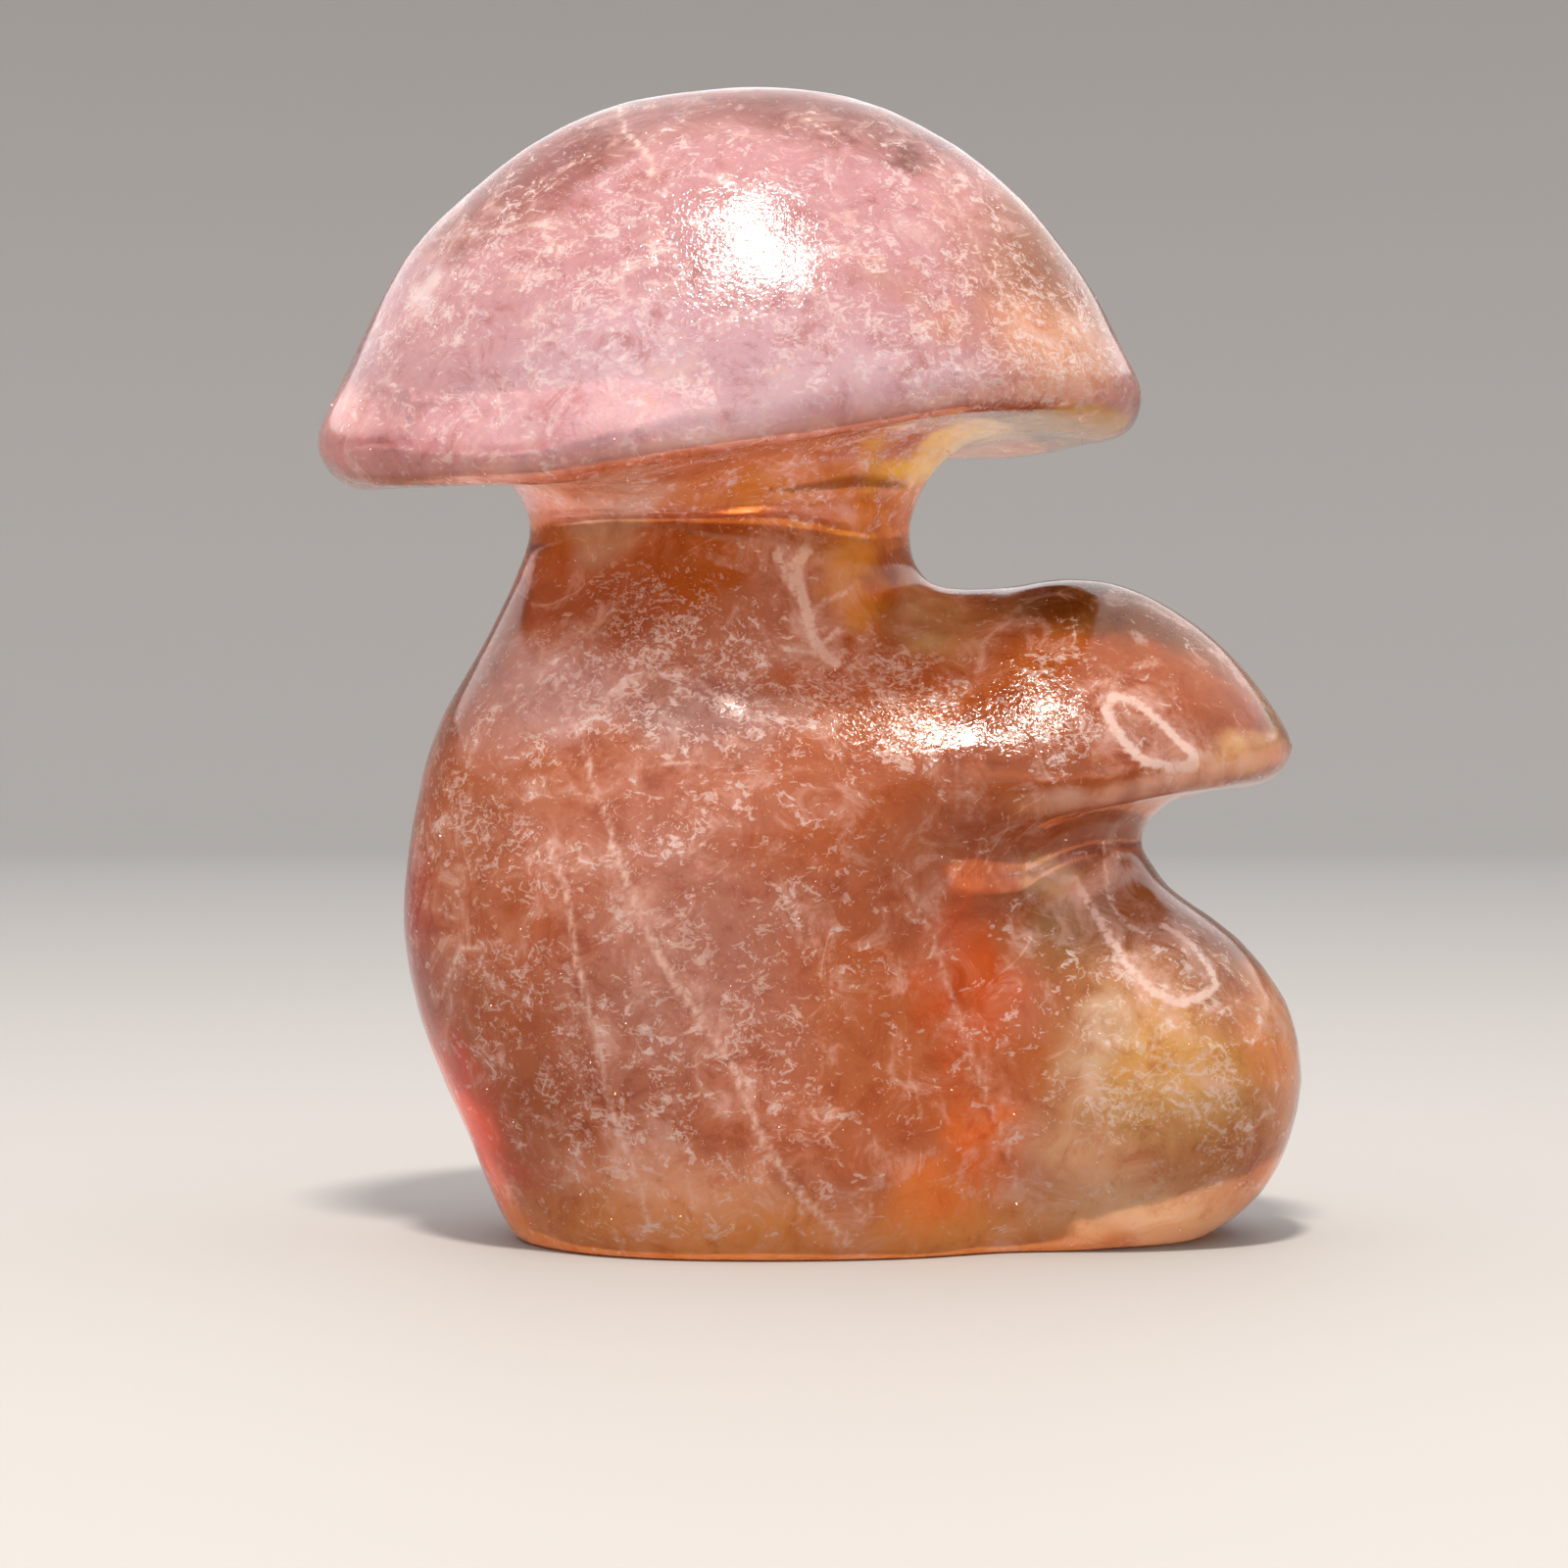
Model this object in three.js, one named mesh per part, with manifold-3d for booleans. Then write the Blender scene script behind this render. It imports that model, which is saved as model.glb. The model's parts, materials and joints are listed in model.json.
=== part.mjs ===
// Two mushrooms, a tall one and a small one at its right, carved from one piece of orange and pink fluorite.
// Millimetres, +Z up, front towards -Y. The origin is the middle of the carving's box, on the flat
// that it stands on.
import * as THREE from "three";
import { mergeVertices } from "three/addons/utils/BufferGeometryUtils.js";
import Module from "manifold-3d";

const wasm = await Module();
wasm.setup();

// Fineness of the surface
const STEP = 1.8; // length of a face along a stem or cap
const EDGE_STEP = 0.6; // the same round the crisp edge of a cap
const END_FACES = 3; // faces from the top of a cap, or the middle of a foot, to the first station
const TALL_COLUMNS = 60; // faces round the tall mushroom
const SMALL_COLUMNS = 44; // faces round the small one
const MERGE_DISTANCE = 1e-4;

// Where the two mushrooms meet, the valley between them is ground smooth
const LINE_REACH = 4.2; // how far from the join its sharp line is taken off
const LINE_PASSES = 220;
const STEM_VALLEY = 5.5; // how far from the join the valley between the stems reaches
const CAP_VALLEY = 8.0; // the same where the small cap's dome meets the tall stem
const VALLEY_PASSES = 240;
const GRINDING_DEPTH = 0.4; // share of the bend that a pass takes away, under a half so that it settles

// A stem is measured at a few heights, from just under the ground up to its neck. left and right are
// x, front and back are y, and square is 2 for an oval plan and more for a plan with flatter sides.
// lean is how much lower the station lies at the right than at the left.
const TALL_STEM = [
  { z: -7.0, left: -14.6, right: 11.0, front: -11.6, back: 11.1, square: 2.5, lean: 0 },
  { z: 0.0, left: -15.1, right: 11.4, front: -12.1, back: 11.6, square: 2.4, lean: 0 },
  { z: 1.4, left: -15.9, right: 12.0, front: -12.8, back: 12.2, square: 2.3, lean: 0 },
  { z: 4.9, left: -17.4, right: 11.8, front: -13.4, back: 12.9, square: 2.25, lean: 0 },
  { z: 11.2, left: -20.0, right: 10.2, front: -13.8, back: 13.3, square: 2.2, lean: 0 },
  { z: 15.4, left: -20.7, right: 9.8, front: -13.8, back: 13.2, square: 2.15, lean: 0.5 },
  { z: 20.6, left: -20.0, right: 11.0, front: -13.3, back: 12.8, square: 2.2, lean: 1.0 },
  { z: 24.8, left: -18.7, right: 10.2, front: -12.2, back: 11.7, square: 2.3, lean: 3.0 },
  { z: 28.6, left: -16.9, right: 5.6, front: -10.3, back: 10.2, square: 2.2, lean: 2.4 },
  { z: 33.2, left: -15.0, right: 4.5, front: -8.3, back: 8.6, square: 2.1, lean: 1.0 },
  { z: 36.3, left: -14.3, right: 5.0, front: -7.7, back: 8.0, square: 2.1, lean: 0 },
];
const SMALL_STEM = [
  { z: -7.0, left: 3.4, right: 18.6, front: -6.6, back: 7.8, square: 2.3, lean: 0 },
  { z: 0.0, left: 3.4, right: 20.1, front: -7.6, back: 8.8, square: 2.3, lean: 0 },
  { z: 1.2, left: 3.4, right: 21.9, front: -8.8, back: 9.8, square: 2.3, lean: 0 },
  { z: 3.6, left: 3.4, right: 23.7, front: -10.0, back: 10.9, square: 2.25, lean: 0 },
  { z: 8.0, left: 3.4, right: 25.1, front: -10.6, back: 11.4, square: 2.2, lean: 0 },
  { z: 11.8, left: 3.4, right: 24.4, front: -10.1, back: 10.8, square: 2.15, lean: 0 },
  { z: 15.0, left: 3.4, right: 21.9, front: -8.8, back: 9.5, square: 2.15, lean: 0 },
  { z: 17.8, left: 3.4, right: 18.2, front: -7.6, back: 8.3, square: 2.15, lean: 0 },
  { z: 19.8, left: 3.4, right: 16.9, front: -7.1, back: 7.8, square: 2.15, lean: 0 },
];

// A cap is measured on its four sides: under is the hollow beside the neck, lip the lowest point of
// the edge and rim the widest, each as [x or y, z]. flank is how far out and up the dome still runs
// straight from the rim, and crown how far out its level top reaches, as shares of its reach and height.
// climb is how steeply the front of the edge slants up from left to right.
const TALL_CAP = {
  apex: [-3.4, 0.3, 58.4],
  sides: {
    left: { under: [-16.7, 39.3], lip: [-23.9, 38.2], rim: [-25.1, 39.9], flank: [0.94, 0.31], crown: 0.64 },
    right: { under: [8.0, 40.2], lip: [15.8, 40.8], rim: [16.8, 42.3], flank: [0.92, 0.27], crown: 0.66 },
    front: { under: [-11.0, 38.4], lip: [-16.0, 38.6], rim: [-16.7, 39.3], flank: [0.96, 0.4], crown: 0.6 },
    back: { under: [11.2, 41.0], lip: [16.0, 40.4], rim: [16.8, 41.8], flank: [0.96, 0.4], crown: 0.6 },
  },
  square: 2.15,
  climb: 3.2,
};
const SMALL_CAP = {
  apex: [13.0, 0.6, 33.45],
  sides: {
    left: { under: [1.5, 19.6], lip: [-2.0, 18.8], rim: [-3.4, 20.2], flank: [0.92, 0.48], crown: 0.38 },
    right: { under: [18.6, 22.2], lip: [23.5, 23.2], rim: [24.4, 24.7], flank: [0.93, 0.31], crown: 0.5 },
    front: { under: [-9.2, 21.2], lip: [-11.6, 21.3], rim: [-12.3, 22.0], flank: [0.96, 0.38], crown: 0.5 },
    back: { under: [9.8, 21.3], lip: [12.0, 21.3], rim: [12.7, 22.6], flank: [0.96, 0.38], crown: 0.5 },
  },
  square: 2.2,
  climb: 1.2,
};
const DOME_STATIONS = 6;

// The block that cuts the foot off flat
const GROUND_WIDTH = 120;
const GROUND_DEPTH = 20;

// The hand-ground surface rolls a little. Each roll is a slow wave of this height along this direction.
const ROLLS = [
  { height: 0.16, length: 15.0, along: new THREE.Vector3(0.8, 0.3, 0.5), start: 0.4 },
  { height: 0.13, length: 11.0, along: new THREE.Vector3(-0.3, 0.7, 0.6), start: 2.1 },
  { height: 0.1, length: 8.0, along: new THREE.Vector3(0.5, -0.6, 0.6), start: 4.0 },
];

// A closed ring round a mushroom, given by the points [reach, z] where it crosses the four sides.
function ring(left, right, front, back, square, climb = 0) {
  return { left, right, front, back, square, climb };
}

function stemRings(stem) {
  return stem.map((s) => {
    const high = s.z + s.lean / 2;
    const low = s.z - s.lean / 2;
    return ring([s.left, high], [s.right, low], [s.front, s.z], [s.back, s.z], s.square);
  });
}

// The side of a dome, from the rim up to the apex.
function domeSide(cap, side, axis) {
  const { rim, flank, crown } = cap.sides[side];
  const reach = rim[0] - cap.apex[axis];
  const height = cap.apex[2] - rim[1];
  const at = (out, up) =>
    new THREE.Vector2(cap.apex[axis] + reach * out, rim[1] + height * up);
  return new THREE.CubicBezierCurve(at(1, 0), at(...flank), at(crown, 1), at(0, 1));
}

// The ring at share t of the way over a dome, 0 at the rim and 1 at the apex.
function domeRing(cap, t) {
  const point = (side, axis) => domeSide(cap, side, axis).getPoint(t).toArray();
  const climb = cap.climb * (1 - t) ** 2;
  return ring(point("left", 0), point("right", 0), point("front", 1), point("back", 1), cap.square, climb);
}

function capRings(cap) {
  const around = (place) =>
    ring(...["left", "right", "front", "back"].map((s) => cap.sides[s][place]), cap.square, cap.climb);
  const dome = Array.from({ length: DOME_STATIONS }, (_, i) => domeRing(cap, i / DOME_STATIONS));
  return [around("under"), around("lip"), ...dome];
}

// The point of a ring at an angle, 0 at the right and a quarter turn at the back.
function pointOn(r, angle) {
  const c = Math.cos(angle);
  const s = Math.sin(angle);
  const centreX = (r.left[0] + r.right[0]) / 2;
  const centreY = (r.front[0] + r.back[0]) / 2;
  const sideX = c > 0 ? r.right : r.left;
  const sideY = s > 0 ? r.back : r.front;
  const spread = (Math.abs(c) ** r.square + Math.abs(s) ** r.square) ** (-1 / r.square);
  return new THREE.Vector3(
    centreX + Math.abs(sideX[0] - centreX) * c * spread,
    centreY + Math.abs(sideY[0] - centreY) * s * spread,
    sideX[1] * c * c + sideY[1] * s * s + (s < 0 ? r.climb * c * s * s : 0),
  );
}

// How many faces to put between two stations, by their distance on the widest side.
function facesBetween(a, b, step) {
  const run = (side) => Math.hypot(b[side][0] - a[side][0], b[side][1] - a[side][1]);
  return Math.max(1, Math.round(Math.max(run("right"), run("front")) / step));
}

// A mushroom as a turned form whose columns are then drawn out to smooth curves through the stations.
function mushroom(stem, cap, columns) {
  const lipAt = stem.length + 1;
  const rings = [...stemRings(stem), ...capRings(cap)];
  const apex = new THREE.Vector3(...cap.apex);
  const foot = new THREE.Vector3(
    (rings[0].left[0] + rings[0].right[0]) / 2,
    (rings[0].front[0] + rings[0].back[0]) / 2,
    stem[0].z,
  );
  // Places along a column, as shares of its curve, whose points are the foot, the rings and the apex.
  const spans = rings.length + 1;
  const places = [0];
  for (let i = 0; i < spans; i++) {
    const crisp = Math.abs(i - 1 - lipAt) <= 1;
    const ends = [rings[i - 1], rings[i]];
    const faces = ends[0] && ends[1] ? facesBetween(...ends, crisp ? EDGE_STEP : STEP) : END_FACES;
    for (let k = 1; k <= faces; k++) places.push((i + k / faces) / spans);
  }
  const turned = new THREE.LatheGeometry(
    places.map((t) => new THREE.Vector2(Math.sin(Math.PI * t), t)),
    columns,
  );
  const position = turned.getAttribute("position");
  for (let column = 0; column <= columns; column++) {
    const angle = ((column % columns) / columns) * 2 * Math.PI;
    const curve = new THREE.CatmullRomCurve3(
      [foot, ...rings.map((r) => pointOn(r, angle)), apex],
      false,
      "centripetal",
    );
    places.forEach((t, row) => {
      const p = curve.getPoint(t);
      position.setXYZ(column * places.length + row, p.x, p.y, p.z);
    });
  }
  return turned;
}

function solidFrom(vertProperties, triVerts) {
  return new wasm.Manifold(new wasm.Mesh({ numProp: 3, vertProperties, triVerts }));
}

// A geometry as a solid, with its shared vertices merged and without the faces that this leaves with no area.
function solidOf(geometry) {
  const bare = geometry.clone().deleteAttribute("normal").deleteAttribute("uv");
  const merged = mergeVertices(bare, MERGE_DISTANCE);
  const kept = [];
  for (let i = 0; i < merged.index.count; i += 3) {
    const [a, b, c] = merged.index.array.subarray(i, i + 3);
    if (a !== b && b !== c && c !== a) kept.push(a, b, c);
  }
  return solidFrom(new Float32Array(merged.getAttribute("position").array), new Uint32Array(kept));
}

// The vertices that triangles of both mushrooms share, which lie along the join.
function joinVertices(mesh) {
  const owner = new Int32Array(mesh.numVert).fill(-1);
  const join = new Set();
  mesh.runOriginalID.forEach((id, run) => {
    for (let i = mesh.runIndex[run]; i < mesh.runIndex[run + 1]; i++) {
      const v = mesh.triVerts[i];
      if (owner[v] !== -1 && owner[v] !== id) join.add(v);
      owner[v] = id;
    }
  });
  return join;
}

function neighbours(mesh) {
  const near = Array.from({ length: mesh.numVert }, () => new Set());
  for (let i = 0; i < mesh.triVerts.length; i += 3) {
    const [a, b, c] = mesh.triVerts.subarray(i, i + 3);
    near[a].add(b).add(c);
    near[b].add(c).add(a);
    near[c].add(a).add(b);
  }
  return near.map((set) => [...set]);
}

// How far each vertex lies from the middle of its neighbours, for values of three numbers a vertex.
function bendOf(values, near) {
  return values.map((value, i) => {
    const axis = i % 3;
    const around = near[(i - axis) / 3];
    return around.reduce((sum, n) => sum + values[n * 3 + axis], 0) / around.length - value;
  });
}

// How much the grinding moves each vertex: all of it along the join, and none past a reach on either side.
function grindingShares(mesh, stemReach, domeReach) {
  const place = (v) => new THREE.Vector3().fromArray(mesh.vertProperties, v * 3);
  const join = [...joinVertices(mesh)].map(place);
  return Array.from({ length: mesh.numVert }, (_, v) => {
    const here = place(v);
    const away = Math.min(...join.map((p) => p.distanceTo(here)));
    const dome = THREE.MathUtils.smoothstep(here.z, SMALL_STEM.at(-1).z, SMALL_CAP.apex[2]);
    const reach = THREE.MathUtils.lerp(stemReach, domeReach, dome);
    return THREE.MathUtils.smoothstep(reach - away, 0, reach);
  });
}

// Grinds the join: first its sharp line, then the whole valley until its sides run on smoothly into
// the mushrooms.
function grindValley(solid) {
  const mesh = solid.getMesh();
  const at = Float32Array.from(mesh.vertProperties);
  const near = neighbours(mesh);
  const line = grindingShares(mesh, LINE_REACH, LINE_REACH);
  const valley = grindingShares(mesh, STEM_VALLEY, CAP_VALLEY);
  const move = (shares, turn, depth) =>
    at.forEach((value, i) => {
      at[i] = value + depth * shares[Math.floor(i / 3)] * turn[i];
    });
  for (let pass = 0; pass < LINE_PASSES; pass++) move(line, bendOf(at, near), GRINDING_DEPTH);
  for (let pass = 0; pass < VALLEY_PASSES; pass++) {
    move(valley, bendOf(bendOf(at, near), near), -GRINDING_DEPTH);
  }
  return solidFrom(at, Uint32Array.from(mesh.triVerts));
}

// Lets the surface roll as hand grinding leaves it.
function roll(solid) {
  const mesh = solid.getMesh();
  const at = Float32Array.from(mesh.vertProperties);
  for (let v = 0; v < mesh.numVert; v++) {
    const p = new THREE.Vector3().fromArray(at, v * 3);
    const shift = ROLLS.map(({ height, length, along, start }) =>
      height * Math.sin((2 * Math.PI * p.dot(along.clone().normalize())) / length + start),
    );
    p.add(new THREE.Vector3(...shift)).toArray(at, v * 3);
  }
  return solidFrom(at, Uint32Array.from(mesh.triVerts));
}

// All that lies under the flat that the carving stands on.
function groundBlock() {
  return new THREE.BoxGeometry(GROUND_WIDTH, GROUND_WIDTH, GROUND_DEPTH).translate(0, 0, -GROUND_DEPTH / 2);
}

function geometryOf(solid) {
  const mesh = solid.getMesh();
  return new THREE.BufferGeometry()
    .setAttribute("position", new THREE.BufferAttribute(mesh.vertProperties, 3))
    .setIndex(new THREE.BufferAttribute(mesh.triVerts, 1));
}

const tall = solidOf(mushroom(TALL_STEM, TALL_CAP, TALL_COLUMNS));
const small = solidOf(mushroom(SMALL_STEM, SMALL_CAP, SMALL_COLUMNS));
const joined = grindValley(tall.add(small));
const carving = geometryOf(roll(joined).subtract(solidOf(groundBlock())));

const fluorite = new THREE.MeshStandardMaterial({
  name: "fluorite",
  color: 0xb9643f,
  roughness: 0.12,
  metalness: 0,
});
carving.computeBoundingBox();
carving.computeVertexNormals();
const middle = carving.boundingBox.getCenter(new THREE.Vector3());
const mesh = new THREE.Mesh(carving, fluorite);
mesh.name = "mushroom_carving";
mesh.position.set(-middle.x, -middle.y, 0);

const group = new THREE.Group();
group.add(mesh);
export default group;
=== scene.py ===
"""A pair of mushrooms carved in one piece of orange and pink fluorite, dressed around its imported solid."""

import json
import math

import bpy
import numpy as np
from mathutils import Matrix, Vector, noise
from mathutils.bvhtree import BVHTree

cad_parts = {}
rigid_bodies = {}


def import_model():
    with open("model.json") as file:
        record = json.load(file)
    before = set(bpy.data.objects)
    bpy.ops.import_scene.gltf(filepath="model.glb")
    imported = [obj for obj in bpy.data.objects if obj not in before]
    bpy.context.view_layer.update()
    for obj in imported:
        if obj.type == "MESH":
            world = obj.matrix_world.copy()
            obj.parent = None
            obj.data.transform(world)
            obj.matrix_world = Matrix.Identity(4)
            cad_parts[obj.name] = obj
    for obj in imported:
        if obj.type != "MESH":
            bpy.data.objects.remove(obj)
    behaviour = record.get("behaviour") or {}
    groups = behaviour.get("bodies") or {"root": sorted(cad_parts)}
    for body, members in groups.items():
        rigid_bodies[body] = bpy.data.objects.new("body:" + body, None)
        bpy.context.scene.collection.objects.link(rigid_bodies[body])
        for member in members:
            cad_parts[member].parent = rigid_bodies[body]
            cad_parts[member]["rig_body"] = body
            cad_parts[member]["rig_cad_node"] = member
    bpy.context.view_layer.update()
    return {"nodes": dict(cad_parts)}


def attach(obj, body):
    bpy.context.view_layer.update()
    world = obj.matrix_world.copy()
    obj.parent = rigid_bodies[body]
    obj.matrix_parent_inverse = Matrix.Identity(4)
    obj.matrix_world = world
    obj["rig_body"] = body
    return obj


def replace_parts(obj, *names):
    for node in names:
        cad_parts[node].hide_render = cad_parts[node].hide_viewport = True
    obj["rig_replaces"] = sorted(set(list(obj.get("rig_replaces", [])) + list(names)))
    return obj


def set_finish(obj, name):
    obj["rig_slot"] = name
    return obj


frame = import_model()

bl_info = {
    "name": "Fluorite mushroom carving",
    "version": (1, 0, 0),
    "blender": (4, 5, 0),
    "location": "View3D > Sidebar > Carving",
    "description": "Polishes the carved pair of mushrooms and lights it on a pale sweep",
    "category": "Object",
}

MM = 0.001
NODE = "mushroom_carving"
BODY = "root"
SLOT = "fluorite"


def linear(code):
    """The linear colour of an sRGB hex value."""
    parts = [int(code[i:i + 2], 16) / 255 for i in (0, 2, 4)]
    return tuple(p / 12.92 if p <= 0.04045 else ((p + 0.055) / 1.055) ** 2.4 for p in parts)


# Colours of the crystal; the zones marked below hold painted glow and painted light
# Each zone: colour, centre x y z mm, half sizes x y z mm, share of it that is soft edge, strength, tilt in degrees.
# The caps lie above their lips, and the stems are everything else.

CAP_PINK = "d09ea2"
CAP_ZONES = (
    # Painted light: the lower front of the tall cap faces a little down and gets less light, so it is painted paler
    # pink.
    ("e4c2cc", (-6, -14, 42), (19, 9, 6.5), 0.9, 0.9, 3),
    ("f2b2ae", (-23, -5, 40.5), (4.5, 10, 4.5), 0.6, 0.9, 0),
    ("924c3c", (-14, -5, 53), (8.5, 14, 4.6), 0.35, 0.9, -30),
    ("8c3e24", (-10, -6, 55.3), (2.4, 8, 3.6), 0.4, 0.8, 12),
    ("824022", (1, -3, 57), (15, 13, 5.8), 0.6, 0.9, 4),
    ("6e3612", (4.3, -8, 53.3), (1.6, 4, 1.0), 0.6, 0.8, 0),
    ("9c602c", (12.5, -4, 49), (8, 14, 11), 0.6, 0.95, 33),
    ("f0b48a", (12, -9, 43.5), (6.5, 9, 4.2), 0.9, 0.8, 0),
    ("c07e42", (19.5, -2, 42.3), (5, 9, 4), 0.6, 0.9, 0),
    ("c89470", (3.6, -12, 47.5), (2.8, 5, 1.8), 0.9, 0.6, 25),
    ("dca07c", (5.5, -12, 44.8), (3.2, 5, 2.2), 0.9, 0.6, 0),
    ("f6f0ee", (-18, -9, 46.9), (1.8, 4, 1.2), 0.9, 0.8, 0),
    # Painted light: a pale band painted along the bottom of the cap's front, above the lip.
    ("f8dae2", (-5, -14, 40.4), (17, 9, 2.6), 0.9, 0.7, -5),
    ("d08a78", (-8, 12, 50), (9, 6, 7), 0.6, 0.8, 20),
    ("e0a070", (8, 13, 46), (8, 6, 6), 0.6, 0.8, 0),
)

SMALL_CAP_BROWN = "b0602e"
SMALL_CAP_ZONES = (
    ("704a1c", (12, 0, 33), (10, 14, 3.4), 0.6, 0.9, 8),
    ("804e18", (18.5, -1, 30.6), (6.5, 12, 2.0), 0.8, 0.7, 34),
    ("ab7a3c", (23.8, 0, 26), (3, 12, 4), 0.7, 0.9, 0),
    # Painted glow: the small cap's lower rim at the front and the stone beside it are painted pale salmon and peach.
    ("ffd090", (20.5, -6, 23.4), (6, 10, 1.5), 0.8, 0.8, -9),
    ("ffc48c", (12.6, -9, 22.2), (5.4, 6, 2.0), 0.8, 0.8, -5),
    ("b06a4a", (14, 10, 28), (7, 6, 5), 0.6, 0.8, 0),
)

STEM_BROWN = "ba6c40"
STEM_ZONES = (
    ("d4801e", (-1, 0, 36), (14, 14, 5.5), 0.4, 0.9, 0),
    ("c4700e", (-12.5, -2, 36.5), (2.8, 10, 4), 0.6, 0.9, 0),
    ("d2b69c", (-9, -8, 35.8), (4.2, 6, 3), 0.6, 0.9, 0),
    ("b45e0c", (-3, -8, 33.4), (5.4, 6, 4.0), 0.35, 0.9, -20),
    ("f2ac36", (2.0, -8, 34.0), (3, 6, 4.5), 0.6, 0.8, 0),
    ("e27e1a", (6.5, -4, 36.8), (3.4, 10, 3.8), 0.6, 0.9, 0),
    ("ffd240", (12, -4, 39.8), (11, 18, 2.0), 0.4, 0.95, -4),
    ("f8b088", (-14, 0, 37.6), (9, 12, 1.6), 0.5, 0.8, 3),
    ("ffecb0", (8, -6, 31.2), (5.5, 9, 3.2), 0.8, 0.95, 0),
    ("a05838", (-10, -8, 31.2), (5, 6, 2.0), 0.8, 0.7, 0),
    ("dab2b0", (-12, -9, 27), (6.6, 6, 4.2), 0.8, 0.8, 0),
    ("a28484", (-5, -12, 26), (6.5, 6, 3.4), 0.8, 0.7, 0),
    ("bc8e82", (-6, -13, 15), (10, 8, 11), 0.8, 0.8, 0),
    ("b88470", (-15.5, -8, 20), (4, 8, 6), 0.9, 0.7, 0),
    ("ba784e", (2, -11, 10), (4, 6, 6), 0.8, 0.7, 0),
    # Painted glow: the lower front of the tall stem is painted pale peach.
    ("ffc8a4", (-7, -12, 3.6), (11, 8, 3.6), 1.0, 0.8, 0),
    # Painted glow: the left edge and its lower end are painted deep red and bright red-orange, as a backlit edge glows.
    ("a81600", (-20.5, -2, 14), (5.0, 14, 10), 0.8, 0.95, 0),
    ("ff3000", (-17.5, -3, 6.5), (4.4, 14, 8), 0.8, 0.95, -20),
    # Painted glow: a bright orange band is painted round the foot.
    ("ffb85c", (0, -5, 0.3), (22, 16, 4.6), 0.8, 0.95, 0),
    ("ff9038", (6, -10, 2.6), (5, 6, 3), 0.8, 0.9, 0),
    ("d25c18", (7.4, -9, 13.5), (2.2, 7, 8), 0.8, 0.9, 8),
    ("fa7c20", (8.4, -10, 5.5), (3, 6, 3), 0.9, 0.9, 0),
    ("9e5e1a", (16.5, -3, 12.5), (8.8, 15, 10), 0.35, 0.95, 0),
    ("8c681c", (13, -8, 15.5), (3.4, 6, 3.2), 0.8, 0.8, 0),
    ("f0d49e", (12.5, -8, 18.2), (2.6, 5, 1.6), 0.6, 0.9, 0),
    ("ae6420", (17.8, -8, 14.0), (2.4, 5, 2.0), 0.9, 0.7, 0),
    ("ffd688", (17, -9, 8.6), (8.4, 9, 6.4), 1.0, 0.8, 10),
    ("f4e8d2", (13.2, -10, 9.5), (2.6, 5, 3.0), 0.9, 0.7, 0),
    ("ffb478", (23, -2, 9), (3.4, 12, 9), 0.8, 0.9, 0),
    # Painted glow: the bulb's lower front and its foot are painted pale peach and cream.
    ("ffd2a6", (13.2, -11, 4.6), (5, 7, 3.4), 0.9, 0.9, 0),
    ("ffe4b8", (17, -7, 1.6), (9, 11, 3.6), 0.8, 0.95, 0),
)

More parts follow.
